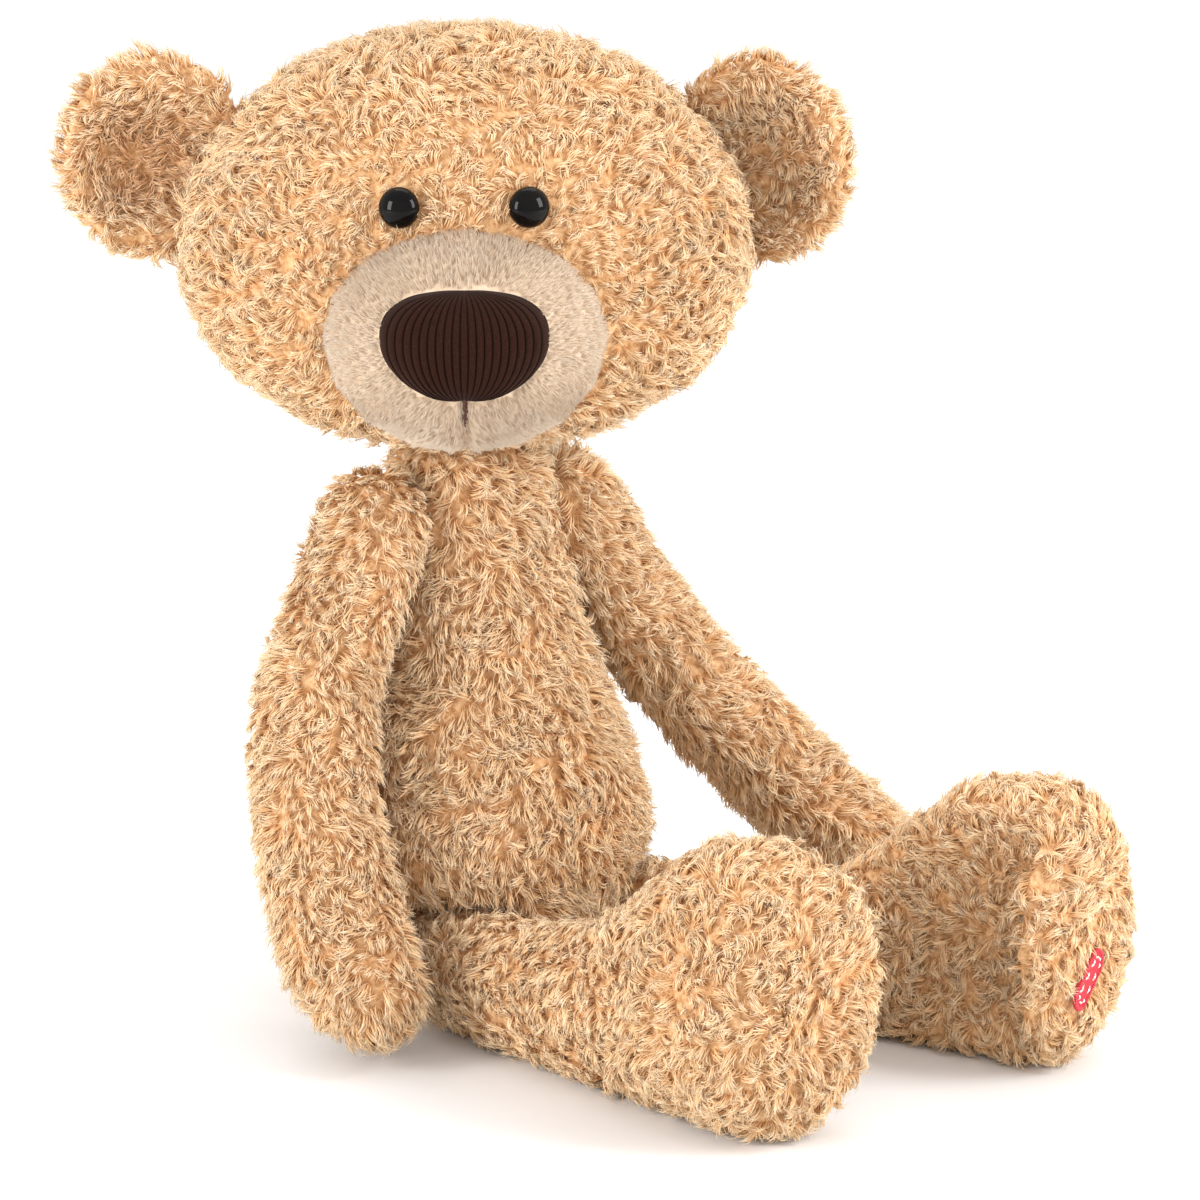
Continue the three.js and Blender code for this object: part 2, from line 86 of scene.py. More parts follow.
def add_camera():
    a = math.radians(CAMERA_AZIMUTH)
    target = TARGET_RIGHT * np.array([math.cos(a), math.sin(a), 0]) + TARGET_UP * UP
    data = bpy.data.cameras.new("camera")
    data.sensor_width = SENSOR
    data.lens = SENSOR * CAMERA_DISTANCE / FIELD_WIDTH
    data.clip_end = 100
    camera = bpy.data.objects.new("camera", data)
    bpy.context.scene.collection.objects.link(camera)
    camera.location = target + CAMERA_DISTANCE * direction(CAMERA_AZIMUTH, CAMERA_ELEVATION)
    look_at(camera, target)
    bpy.context.scene.camera = camera


def add_lamp(name, azimuth, elevation, distance, size, power):
    data = bpy.data.lights.new(name, "AREA")
    data.shape = "RECTANGLE"
    data.size, data.size_y = size
    data.energy = power
    lamp = bpy.data.objects.new(name, data)
    bpy.context.scene.collection.objects.link(lamp)
    target = np.array([0, 0, 0.15])
    lamp.location = target + distance * direction(azimuth, elevation)
    look_at(lamp, target)


def add_studio():
    scene = bpy.context.scene
    scene.view_settings.view_transform = "Standard"
    world = bpy.data.worlds.new("studio")
    world.use_nodes = True
    background = world.node_tree.nodes["Background"]
    background.inputs["Color"].default_value = (1, 1, 1, 1)
    background.inputs["Strength"].default_value = 1.0
    scene.world = world
    add_lamp("key_softbox", CAMERA_AZIMUTH + 68, 24, 1.5, (0.55, 0.9), 17.5)
    add_lamp("left_softbox", CAMERA_AZIMUTH - 55, 16, 1.6, (0.5, 0.9), 18)
    add_lamp("top_softbox", CAMERA_AZIMUTH + 170, 65, 1.6, (1.2, 0.8), 5)
    floor_mesh = bpy.data.meshes.new("floor")
    reach = 12.0
    corners = [(-reach, -reach, 0), (reach, -reach, 0), (reach, reach, 0), (-reach, reach, 0)]
    floor_mesh.from_pydata(corners, [], [(0, 1, 2, 3)])
    floor = bpy.data.objects.new("floor", floor_mesh)
    scene.collection.objects.link(floor)
    floor.data.materials.append(plain_material("floor_white", (0.93, 0.93, 0.93), 0.8))


# ---- materials ----
def linear(red, green, blue):
    """Scene-linear colour of an sRGB colour given from 0 to 255."""
    shares = [c / 255 for c in (red, green, blue)]
    return [c / 12.92 if c <= 0.04045 else ((c + 0.055) / 1.055) ** 2.4 for c in shares]


def new_material(name, roughness):
    material = bpy.data.materials.new(name)
    material.use_nodes = True
    shader = material.node_tree.nodes["Principled BSDF"]
    shader.inputs["Roughness"].default_value = roughness
    return material, material.node_tree, shader


def plain_material(name, colour, roughness):
    material, _, shader = new_material(name, roughness)
    shader.inputs["Base Color"].default_value = (*colour, 1)
    return material


def ramp_node(tree, stops):
    """A colour ramp from (place, linear colour) stops."""
    node = tree.nodes.new("ShaderNodeValToRGB")
    ramp = node.color_ramp
    while len(ramp.elements) < len(stops):
        ramp.elements.new(0.5)
    for element, (place, colour) in zip(ramp.elements, stops):
        element.position = place
        element.color = (*colour, 1)
    return node


def noise_node(tree, scale, detail=3.0, roughness=0.55):
    place = tree.nodes.new("ShaderNodeTexCoord")
    node = tree.nodes.new("ShaderNodeTexNoise")
    node.inputs["Scale"].default_value = scale
    node.inputs["Detail"].default_value = detail
    node.inputs["Roughness"].default_value = roughness
    tree.links.new(place.outputs["Object"], node.inputs["Vector"])
    return node


def mix_colours(tree, factor, first, second, blend="MIX"):
    """Mixes two colour sockets; factor is a number or a socket."""
    node = tree.nodes.new("ShaderNodeMix")
    node.data_type = "RGBA"
    node.blend_type = blend
    if isinstance(factor, (int, float)):
        node.inputs["Factor"].default_value = factor
    else:
        tree.links.new(factor, node.inputs["Factor"])
    for value, socket in ((first, node.inputs[6]), (second, node.inputs[7])):
        if isinstance(value, (list, tuple)):
            socket.default_value = (*value, 1)
        else:
            tree.links.new(value, socket)
    return node.outputs[2]


def paint(tree, shader, source, stops):
    """Colours a shader by a texture node through a colour ramp."""
    ramp = ramp_node(tree, stops)
    tree.links.new(source.outputs["Fac"], ramp.inputs["Fac"])
    tree.links.new(ramp.outputs["Color"], shader.inputs["Base Color"])


def add_bump(tree, shader, source, strength, distance):
    """Roughens a shader's normal by a texture node."""
    bump = tree.nodes.new("ShaderNodeBump")
    bump.inputs["Strength"].default_value = strength
    bump.inputs["Distance"].default_value = distance
    tree.links.new(source.outputs["Fac"], bump.inputs["Height"])
    tree.links.new(bump.outputs["Normal"], shader.inputs["Normal"])


def fibre_material(name, along, cast, hollow, roughness=0.75, sheen=0.12):
    """Pile whose colour runs from root to tip, darker at the root as painted shade deep in the pile, each
    tuft a little different.

    It nears the hollow colour, a painted shade, where the strand attribute's alpha is low."""
    material, tree, shader = new_material(name, roughness)
    shader.inputs["Sheen Weight"].default_value = sheen
    shader.inputs["Sheen Roughness"].default_value = 0.5
    shader.inputs["Specular IOR Level"].default_value = 0.12
    strand = tree.nodes.new("ShaderNodeAttribute")
    strand.attribute_name = "strand"
    parts = tree.nodes.new("ShaderNodeSeparateColor")
    tree.links.new(strand.outputs["Color"], parts.inputs["Color"])
    # Root-to-tip ramp: the darker root colours are painted shade deep in the pile.
    run = ramp_node(tree, along)
    tree.links.new(parts.outputs["Red"], run.inputs["Fac"])
    tufts = ramp_node(tree, cast)
    tree.links.new(parts.outputs["Green"], tufts.inputs["Fac"])
    colour = mix_colours(tree, 1.0, run.outputs["Color"], tufts.outputs["Color"], "MULTIPLY")
    for noise, stops in (
        (noise_node(tree, 38.0), [(0.3, (0.9, 0.88, 0.85)), (0.7, (1.0, 1.0, 1.0))]),
        (hair_noise(tree, parts), [(0.3, (0.88, 0.85, 0.81)), (0.65, (1.04, 1.04, 1.04))]),
    ):
        ramp = ramp_node(tree, stops)
        tree.links.new(noise.outputs["Fac"], ramp.inputs["Fac"])
        colour = mix_colours(tree, 1.0, colour, ramp.outputs["Color"], "MULTIPLY")
    # Painted shade: the hollow colour is mixed in where the strand attribute's alpha is low.
    shaded = mix_colours(tree, strand.outputs["Alpha"], hollow, colour)
    tree.links.new(shaded, shader.inputs["Base Color"])
    return material


def hair_noise(tree, parts):
    """Noise drawn out along the strand, as of many fine hairs laid side by side."""
    join = tree.nodes.new("ShaderNodeCombineXYZ")
    for source, gain, target in (("Blue", 16.0, "X"), ("Red", 1.6, "Y"), ("Green", 90.0, "Z")):
        scale = tree.nodes.new("ShaderNodeMath")
        scale.operation = "MULTIPLY"
        scale.inputs[1].default_value = gain
        tree.links.new(parts.outputs[source], scale.inputs[0])
        tree.links.new(scale.outputs[0], join.inputs[target])
    noise = tree.nodes.new("ShaderNodeTexNoise")
    noise.inputs["Scale"].default_value = 1.0
    noise.inputs["Detail"].default_value = 2.0
    tree.links.new(join.outputs["Vector"], noise.inputs["Vector"])
    return noise


def backing_material(name, dark, light):
    """Knitted backing cloth, seen only between tufts."""
    material, tree, shader = new_material(name, 0.9)
    noise = noise_node(tree, 420.0, 4.0)
    paint(tree, shader, noise, [(0.35, dark), (0.65, light)])
    add_bump(tree, shader, noise, 0.8, 1.2 * MM)
    return material


# ---- meshes ----
def add_mesh(name, vertices, faces, material, body, smooth=True):
    """A piece from arrays of vertices and of triangles or quads, riding on a body."""
    faces = np.asarray(faces, np.int32)
    corners = faces.shape[1]
    mesh = bpy.data.meshes.new(name)
    mesh.vertices.add(len(vertices))
    mesh.vertices.foreach_set("co", np.asarray(vertices, np.float32).ravel())
    mesh.loops.add(faces.size)
    mesh.loops.foreach_set("vertex_index", faces.ravel())
    mesh.polygons.add(len(faces))
    mesh.polygons.foreach_set("loop_start", np.arange(0, faces.size, corners, dtype=np.int32))
    mesh.polygons.foreach_set("use_smooth", np.full(len(faces), smooth))
    mesh.update()
    obj = bpy.data.objects.new(name, mesh)
    bpy.context.scene.collection.objects.link(obj)
    mesh.materials.append(material)
    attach(obj, body)
    return obj


def node_arrays(names):
    """Vertices and triangles of several CAD nodes together."""
    points = []
    faces = []
    count = 0
    for name in names:
        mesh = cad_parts[name].data
        mesh.calc_loop_triangles()
        co = np.empty(len(mesh.vertices) * 3, np.float32)
        mesh.vertices.foreach_get("co", co)
        tri = np.empty(len(mesh.loop_triangles) * 3, np.int32)
        mesh.loop_triangles.foreach_get("vertices", tri)
        points.append(co.reshape(-1, 3))
        faces.append(tri.reshape(-1, 3) + count)
        count += len(mesh.vertices)
    return np.concatenate(points).astype(float), np.concatenate(faces)


def node_tree_of(names):
    points, faces = node_arrays(names)
    return BVHTree.FromPolygons([Vector(p) for p in points], faces.tolist())


def node_middle(name):
    low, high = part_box(name)
    return (np.array(low) + np.array(high)) / 2


def node_mean(name):
    return node_arrays([name])[0].mean(axis=0)


def unit(vectors):
    vectors = np.asarray(vectors, float)
    length = np.linalg.norm(vectors, axis=-1, keepdims=True)
    return vectors / np.maximum(length, 1e-12)


def outer_island(bm):
    """Keeps only the part of a bmesh that holds its lowest vertex, which is its outer wall."""
    start = min(bm.verts, key=lambda v: v.co.z)
    seen = {start}
    queue = [start]
    while queue:
        vertex = queue.pop()
        for edge in vertex.link_edges:
            other = edge.other_vert(vertex)
            if other not in seen:
                seen.add(other)
                queue.append(other)
    bmesh.ops.delete(bm, geom=[v for v in bm.verts if v not in seen], context="VERTS")


def cover_skin(name, nodes, material, body, voxel=2.4 * MM, rounds=12, fill=0.8, shape=None):
    """The smooth backing cloth of one stuffed cover: its CAD panels and stuffing as one closed skin.

    shape, if given, moves the skin's vertices."""
    return skin_of(name, *node_arrays(nodes), material, body, voxel, rounds, fill, shape)


def skin_of(name, points, faces, material, body, voxel, rounds, fill, shape):
    """A remeshed, softened skin around a closed mesh."""
    obj = add_mesh(name, points, faces, material, body)
    remesh = obj.modifiers.new("remesh", "REMESH")
    remesh.mode = "VOXEL"
    remesh.voxel_size = voxel
    soften = obj.modifiers.new("soften", "SMOOTH")
    soften.factor = 0.5
    soften.iterations = rounds
    graph = bpy.context.evaluated_depsgraph_get()
    bm = bmesh.new()
    bm.from_mesh(obj.evaluated_get(graph).to_mesh())
    obj.modifiers.clear()
    outer_island(bm)
    bmesh.ops.triangulate(bm, faces=bm.faces)
    if shape is not None:
        shape(bm)
    bm.normal_update()
    bm.to_mesh(obj.data)
    bm.free()
    for polygon in obj.data.polygons:
        polygon.use_smooth = True
    return obj


class Surface:
    """A skin's triangles as arrays, for scattering fibres."""

    def __init__(self, obj):
        mesh = obj.data
        mesh.calc_loop_triangles()
        count = len(mesh.vertices)
        self.points = np.empty(count * 3, np.float32)
        mesh.vertices.foreach_get("co", self.points)
        self.points = self.points.reshape(-1, 3).astype(float)
        self.normals = np.empty(count * 3, np.float32)
        mesh.vertices.foreach_get("normal", self.normals)
        self.normals = self.normals.reshape(-1, 3).astype(float)
        tri = np.empty(len(mesh.loop_triangles) * 3, np.int32)
        mesh.loop_triangles.foreach_get("vertices", tri)
        self.triangles = tri.reshape(-1, 3)
        a, b, c = (self.points[self.triangles[:, k]] for k in range(3))
        self.areas = np.linalg.norm(np.cross(b - a, c - a), axis=1) / 2

    def scatter(self, spacing, rng):
        """Places about `spacing` apart, with their normals: random darts, and the crowded ones dropped."""
        tries = int(self.areas.sum() / spacing**2 * 3.2)
        pick = rng.choice(len(self.areas), tries, p=self.areas / self.areas.sum())
        weights = rng.dirichlet((1, 1, 1), tries)[:, :, None]
        places = (self.points[self.triangles[pick]] * weights).sum(axis=1)
        normals = unit((self.normals[self.triangles[pick]] * weights).sum(axis=1))
        keep = spaced(places, spacing)
        return places[keep], normals[keep]


def spaced(places, spacing):
    """Indices of places that lie at least `spacing` from every place kept before them."""
    cells = {}
    keep = []
    keys = np.floor(places / spacing).astype(int)
    reach = [(i, j, k) for i in (-1, 0, 1) for j in (-1, 0, 1) for k in (-1, 0, 1)]
    limit = spacing**2
    rows = places.tolist()
    for index, (key, row) in enumerate(zip(keys.tolist(), rows)):
        crowded = False
        for i, j, k in reach:
            for other in cells.get((key[0] + i, key[1] + j, key[2] + k), ()):
                gap = (row[0] - other[0]) ** 2 + (row[1] - other[1]) ** 2 + (row[2] - other[2]) ** 2
                if gap < limit:
                    crowded = True
                    break
            if crowded:
                break
        if not crowded:
            cells.setdefault(tuple(key), []).append(row)
            keep.append(index)
    return np.array(keep)


# ---- fur ----
def wave_noise(places, scale, rng, waves=6):
    """Smooth noise from about -1 to 1, a sum of random waves of length `scale`."""
    total = np.zeros(len(places))
    for _ in range(waves):
        way = unit(rng.normal(size=3)) * (2 * math.pi / scale) * rng.uniform(0.6, 1.5)
        total += np.sin(places @ way + rng.uniform(0, 2 * math.pi))
    return total / math.sqrt(waves / 2) / 1.6


def turn_about(vectors, axes, angles):
    """Each vector turned about its own unit axis."""
    c = np.cos(angles)[:, None]
    s = np.sin(angles)[:, None]
    dot = (vectors * axes).sum(axis=1)[:, None]
    return vectors * c + np.cross(axes, vectors) * s + axes * dot * (1 - c)


def tuft_shapes(style, tufts, rng):
    """How each tuft bends: its lean at root and tip, and how far it swirls about the skin's normal."""
    lean_from = np.radians(rng.uniform(*style["lean_root"], tufts))
    lean_to = np.radians(rng.uniform(*style["lean_tip"], tufts))
    swirl = np.radians(rng.normal(0, style["swirl"], tufts))
    return lean_from, lean_to, swirl


def fibre_arrays(tufts, shapes, make, rng):
    """Tapering fibres that follow their tufts: vertices, triangles and the strand attribute.

    tufts holds places, normals, comb, length and shade (painted shade: 1 for none, lower for more), a row
    for each tuft.
    make says how one fibre is made."""
    places, normals, comb, length, shade = tufts
    lean_from, lean_to, swirl = shapes
    count = make["fibres"]
    steps = len(make["taper"])
    sides = make["sides"]
    own = np.repeat(np.arange(len(places)), count)
    total = len(own)
    across = np.cross(normals, comb)
    angle = rng.uniform(0, 2 * math.pi, total)
    radius = make["radius"] * np.sqrt(rng.uniform(0, 1, total))
    offset = (comb[own] * np.cos(angle)[:, None] + across[own] * np.sin(angle)[:, None]) * radius[:, None]
    reach = length[own] * rng.uniform(*make["reach"], total)
    turn_by = swirl[own] + rng.normal(0, make["fan"], total)
    jitter = rng.normal(0, make["spread"], (total, 3))
    centre = places[own] - normals[own] * 0.5 * MM
    spine = [centre + offset]
    for step in range(steps):
        share = (step + 0.5) / steps
        lean = (lean_from + (lean_to - lean_from) * share)[own]
        side = turn_by * share
        flat = comb[own] * np.cos(side)[:, None] + across[own] * np.sin(side)[:, None]
        heading = normals[own] * np.cos(lean)[:, None] + flat * np.sin(lean)[:, None]
        centre = centre + heading * (reach / steps)[:, None]
        end = (step + 1) / steps
        spine.append(centre + offset * (1 - make["clump"] * end) + jitter * end)
    width = make["width"] * rng.uniform(0.75, 1.25, total)
    rings = []
    for step in range(steps):
        heading = unit(spine[step + 1] - spine[max(step - 1, 0)])
        side = unit(np.cross(heading, across[own] + 1e-3))
        other = np.cross(heading, side)
        for corner in range(sides):
            turn = 2 * math.pi * corner / sides
            push = side * math.cos(turn) + other * math.sin(turn)
            rings.append(spine[step] + push * (width * make["taper"][step] / 2)[:, None])
    rings.append(spine[-1])
    vertices = np.stack(rings, axis=1)
    lowest = FLOOR_CLEAR * rng.uniform(0.5, 3.0, total)[:, None]
    vertices[:, :, 2] = np.maximum(vertices[:, :, 2], lowest)
    strand = np.empty((total, steps * sides + 1, 4), np.float32)
    strand[:, :, 0] = [step / steps for step in range(steps) for _ in range(sides)] + [1.0]
    tuft_cast = rng.uniform(0, 1, len(places))[own] * 0.75
    strand[:, :, 1] = (tuft_cast + rng.uniform(0, 0.25, total))[:, None]
    strand[:, :, 2] = [abs(2 * corner / sides - 1) for _ in range(steps) for corner in range(sides)] + [0.5]
    # Alpha holds each tuft's painted shade.
    strand[:, :, 3] = shade[own][:, None]
    return vertices, fibre_faces(steps, sides), strand


def fibre_faces(steps, sides):
    """Triangles of one fibre: sides of each ring to the next, then the point."""
    faces = []
    for step in range(steps - 1):
        for corner in range(sides):
            a = step * sides + corner
            b = step * sides + (corner + 1) % sides
            faces += [(a, b, b + sides), (a, b + sides, a + sides)]
    last = (steps - 1) * sides
    for corner in range(sides):
        faces.append((last + corner, last + (corner + 1) % sides, last + sides))
    return np.array(faces)


def tuft_triangles(style):
    """Triangles in one tuft of a style."""
    return sum(len(fibre_faces(len(m["taper"]), m["sides"])) * m["fibres"] for m in style["makes"])


def add_fibres(name, made, material, body):
    """One piece of pile from several makes of whole fibres."""
    points = []
    triangles = []
    strands = []
    count = 0
    for vertices, faces, strand in made:
        each = vertices.shape[1]
        every = (faces[None] + each * np.arange(len(vertices))[:, None, None]).reshape(-1, 3)
        points.append(vertices.reshape(-1, 3))
        triangles.append(every + count)
        strands.append(strand.reshape(-1, 4))
        count += len(points[-1])
    obj = add_mesh(name, np.concatenate(points), np.concatenate(triangles), material, body)
    layer = obj.data.attributes.new("strand", "FLOAT_COLOR", "POINT")
    layer.data.foreach_set("color", np.concatenate(strands).ravel())
    return obj


def nearest_distance(tree, places):
    """Distance from each place to a BVH tree's surface."""
    return np.array([tree.find_nearest(Vector(p))[3] for p in places])


def comb_along(way, normals):
    """A direction laid flat on the surface."""
    flat = way - normals * (way * normals).sum(axis=1)[:, None]
    spare = np.cross(normals, np.array([0.31, 0.72, 0.62]))
    short = np.linalg.norm(flat, axis=1) < 1e-3
    flat[short] = spare[short]
    return unit(flat)


def nearest_panels(panels, places):
    """The panel that each place belongs to, and how much farther off the next panel is."""
    gaps = np.stack([nearest_distance(node_tree_of([panel]), places) for panel in panels])
    if len(panels) == 1:
        return gaps.argmin(axis=0), np.full(len(places), SEAM_REACH)
    order = np.sort(gaps, axis=0)
    return gaps.argmin(axis=0), order[1] - order[0]


def grow(cover, skin, body, style, comb_way, length_of, material, seed, shade_of=None):
    """Fur on one cover, one piece or more for each CAD panel that it stands for.

    comb_way, length_of and shade_of give a value for each place from places and normals; shade_of gives the
    painted shade, 1 where there is none."""
    panels = COVERS[cover]
    rng = np.random.default_rng(seed)
    surface = Surface(skin)
    places, normals = surface.scatter(style["spacing"], rng)
    combed = comb_along(comb_way(places, normals), normals)
    wander = wave_noise(places, WANDER_LENGTH, rng) * math.radians(style["wander"])
    stray = rng.normal(0, math.radians(style["stray"]), len(places))
    combed = turn_about(combed, normals, wander + stray)
    length = length_of(places, normals) * rng.uniform(*PILE_SPREAD, len(places))
    owner, seam = nearest_panels(panels, places)
    length *= np.clip(SEAM_SHARE + seam / SEAM_REACH, SEAM_SHARE, 1.0)
    length = limit_to_room(cover, places, normals, length)
    keep = length > SHORTEST_PILE
    # Painted shade for each tuft: 1 keeps the pile's own colour, lower mixes in the hollow colour.
    shade = np.ones(len(places)) if shade_of is None else shade_of(places, normals)
    for index, panel in enumerate(panels):
        rows = np.flatnonzero((owner == index) & keep)
        parts = max(1, math.ceil(len(rows) * tuft_triangles(style) / PIECE_TRIANGLES))
        rows = rows[np.argsort(places[rows, 2], kind="stable")]
        for part, chosen in enumerate(np.array_split(rows, parts)):
            tufts = [part_of[chosen] for part_of in (places, normals, combed, length, shade)]
            shapes = tuft_shapes(style, len(chosen), rng)
            made = [fibre_arrays(tufts, shapes, make, rng) for make in style["makes"]]
            tail = f"_{part + 1}" if parts > 1 else ""
            name = panel.replace("_panel", "") + "_fur" + tail
            obj = add_fibres(name, made, material, body)
            if part == 0:
                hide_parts(panel)


COVERS = {
    "head": ["head_right_panel", "head_left_panel"],
    "muzzle": ["muzzle_cover"],
    "right_ear": ["right_ear_front_panel", "right_ear_back_panel"],
    "left_ear": ["left_ear_front_panel", "left_ear_back_panel"],
    "torso": [f"torso_{face}_{side}_panel" for face in ("front", "back") for side in ("right", "left")],
    "right_arm": ["right_arm_outer_panel", "right_arm_inner_panel"],
    "left_arm": ["left_arm_outer_panel", "left_arm_inner_panel"],
    "right_leg": ["right_leg_outer_panel", "right_leg_inner_panel", "right_leg_sole"],
    "left_leg": ["left_leg_outer_panel", "left_leg_inner_panel", "left_leg_sole"],
}
SEWN_TO_HEAD = {"head", "right_ear", "left_ear"}
COVER_TREES = {}  # filled as covers are first measured to


def limit_to_room(cover, places, normals, length):
    """Shortens the pile where another cover lies close above the skin."""
    for other, nodes in COVERS.items():
        if other == cover or {other, cover} <= SEWN_TO_HEAD:
            continue
        if other not in COVER_TREES:
            COVER_TREES[other] = node_tree_of(nodes)
        gap = nearest_distance(COVER_TREES[other], places + normals * 2 * MM)
        length = np.minimum(length, gap * 0.9 + CLOSE_PILE)
    return length


BUNDLES = {
    "fibres": 5, "sides": 3, "taper": (0.8, 1.0, 0.72), "radius": 1.15 * MM, "width": 0.74 * MM,
    "clump": 0.5, "spread": 0.34 * MM, "fan": 0.28, "reach": (0.75, 1.05),
}
WISPS = {
    "fibres": 8, "sides": 3, "taper": (1.0, 0.9, 0.6), "radius": 1.9 * MM, "width": 0.38 * MM,
    "clump": 0.15, "spread": 0.75 * MM, "fan": 0.62, "reach": (0.7, 1.18),
}
PLUSH = {
    "spacing": 2.48 * MM, "makes": (BUNDLES, WISPS), "swirl": 44,
    "lean_root": (4, 34), "lean_tip": (62, 128), "wander": 55, "stray": 26,
}
NUBBY = {**PLUSH, "swirl": 60, "lean_root": (0, 34), "lean_tip": (80, 160), "wander": 80, "stray": 40}
SHORT_HAIRS = {
    "fibres": 8, "sides": 3, "taper": (1.0, 0.8), "radius": 1.0 * MM, "width": 0.27 * MM,
    "clump": 0.1, "spread": 0.14 * MM, "fan": 0.14, "reach": (0.85, 1.1),
}
SHORT_PILE = {
    "spacing": 1.3 * MM, "makes": (SHORT_HAIRS,), "swirl": 6,
    "lean_root": (38, 50), "lean_tip": (58, 72), "wander": 16, "stray": 6,
}


def head_axes():
    """The head's own forward and left directions: it is turned about the neck."""
    eyes = node_mean("left_eye") - node_mean("right_eye")
    left = unit(eyes * np.array([1, 1, 0]))
    return np.cross(left, UP), left


HEAD_FORWARD, HEAD_LEFT = head_axes()
MUZZLE_MIDDLE = node_middle("muzzle_cover")
HEAD_MIDDLE = (node_middle("head_right_panel") + node_middle("head_left_panel")) / 2


def plush_material():
    return fibre_material(
        "plush_pile",
        # Root to tip: the darker roots are painted shade deep in the pile.
        [(0.0, linear(230, 170, 110)), (0.3, linear(243, 200, 149)), (0.65, linear(250, 220, 180)),
         (1.0, linear(254, 238, 213))],
        [(0.0, (0.97, 0.94, 0.88)), (0.5, (1.0, 1.0, 1.0)), (1.0, (1.03, 1.03, 1.02))],
        # The hollow colour: painted shade for the ear's hollow.
        linear(204, 142, 86),
    )


def muzzle_material():
    return fibre_material(
        "muzzle_pile",
        # Root to tip: the darker roots are painted shade deep in the pile.
        [(0.0, linear(214, 190, 164)), (0.5, linear(229, 208, 184)), (1.0, linear(240, 225, 206))],
        [(0.0, (0.97, 0.96, 0.95)), (1.0, (1.02, 1.02, 1.02))],
        # The hollow colour: painted shade, never shown here, as the muzzle's pile gets none.
        linear(190, 160, 130),
    )


# ---- the head ----
EAR_CUP_RADIUS = 25 * MM
EAR_CUP_DEPTH = 6 * MM


def away_from_eyes(places, length):
    """No pile under the eyes, and short pile beside them."""
    for side in ("right", "left"):
        axis = eye_axis(side)
        middle = node_mean(f"{side}_eye")
        offset = places - middle
        radial = np.linalg.norm(offset - (offset @ axis)[:, None] * axis, axis=1)
        near = np.linalg.norm(offset, axis=1) < 24 * MM
        beside = np.abs(offset @ HEAD_LEFT) > np.abs(offset @ UP)
        most = np.where(beside, 6.4, 4.4) * MM + np.maximum(radial - 6 * MM, 0) * 0.5
        length = np.where(near, np.minimum(length, most), length)
        length = np.where(near & (radial < 5.2 * MM), 0.0, length)
    return length


def eye_axis(side):
    """The way that an eye looks, from its washer to its dome."""
    return unit(node_mean(f"{side}_eye") - node_mean(f"{side}_eye_washer"))


def head_way(places, normals):
    away = unit(places - (MUZZLE_MIDDLE + UP * 6 * MM))
    side = np.abs((places - HEAD_MIDDLE) @ HEAD_LEFT)[:, None] / 0.08
    return away - np.clip(side, 0, 1) * 0.5 * UP


def head_length(places, normals):
    face = np.linalg.norm(places - MUZZLE_MIDDLE - UP * 0.02, axis=1)
    length = np.clip(5.8 * MM + (face - 0.05) * 0.1, 5.8 * MM, 9.0 * MM)
    return away_from_eyes(places, length)


def add_head(backing, plush):
    skin = cover_skin("head_backing", COVERS["head"] + ["head_stuffing"], backing, "head")
    grow("head", skin, "head", NUBBY, head_way, head_length, plush, 11)
    for number, side in enumerate(("right", "left")):
        cover = f"{side}_ear"
        skin = ear_skin(side, backing)
        shade = ear_painted_shade(side)
        grow(cover, skin, "head", PLUSH, ear_way, ear_length, plush, 21 + number, shade)


def ear_skin(side, backing):
    """The ear's lens with its front hollowed."""
    points = node_arrays(COVERS[f"{side}_ear"])[0]
    hull = bmesh.new()
    for point in points:
        hull.verts.new(point)
    bmesh.ops.convex_hull(hull, input=hull.verts[:])
    bmesh.ops.delete(hull, geom=[v for v in hull.verts if not v.link_faces], context="VERTS")
    hull.verts.index_update()
    corners = np.array([v.co[:] for v in hull.verts])
    faces = [[v.index for v in face.verts] for face in hull.faces]
    hull.free()
    middle = (corners.max(axis=0) + corners.min(axis=0)) / 2
    facing = unit(node_mean(f"{side}_ear_front_panel") - node_mean(f"{side}_ear_back_panel"))

    def hollow(bm):
        bm.normal_update()
        for vertex in bm.verts:
            offset = np.array(vertex.co) - middle
            radial = np.linalg.norm(offset - (offset @ facing) * facing) / EAR_CUP_RADIUS
            if vertex.normal @ Vector(facing) > 0.2 and radial < 1:
                vertex.co -= Vector(facing * EAR_CUP_DEPTH * (1 - radial**2))

    return skin_of(f"{side}_ear_backing", corners, faces, backing, "head", 1.6 * MM, 6, 0.6, hollow)


def ear_painted_shade(side):
    """Painted shade on the pile deep in the ear's hollow, most of all in the right ear, which turns from
    the light.
    """
    middle = node_middle(f"{side}_ear_front_panel")
    dark = 0.55 if side == "right" else 0.05

    def shade(places, normals):
        deep = 1 - np.linalg.norm(places - middle, axis=1) / (24 * MM)
        facing = np.clip(normals @ HEAD_FORWARD * 2, 0, 1)
        return 1 - dark * np.clip(deep * 1.6, 0, 1) * facing

    return shade


def ear_way(places, normals):
    return unit(places - HEAD_MIDDLE)


def ear_length(places, normals):
    """Shorter pile in the ear's hollow, which faces forward."""
    facing = np.clip(normals @ HEAD_FORWARD, 0, 1)
    return EAR_PILE - 1.2 * MM * facing


# ---- the muzzle, nose, mouth and eyes ----
CREASE_DEPTH = 1.8 * MM
CREASE_WIDTH = 1.9 * MM
WALES = 21
WALE_HEIGHT = 0.62 * MM
WALE_SAMPLES = 10
NOSE_ROWS = 76
EYE_STEM = 1.6 * MM
POINT = 1e-5  # radius that closes a turned solid


def nose_extent():
    """Middle, half width, half height and front of the nose in the head's axes."""
    points = node_arrays(["nose_pad"])[0]
    across = points @ HEAD_LEFT
    rise = points @ UP
    ahead = points @ HEAD_FORWARD
    middle = HEAD_LEFT * (across.max() + across.min()) / 2 + UP * (rise.max() + rise.min()) / 2
    return middle, (across.max() - across.min()) / 2, (rise.max() - rise.min()) / 2, ahead.max()


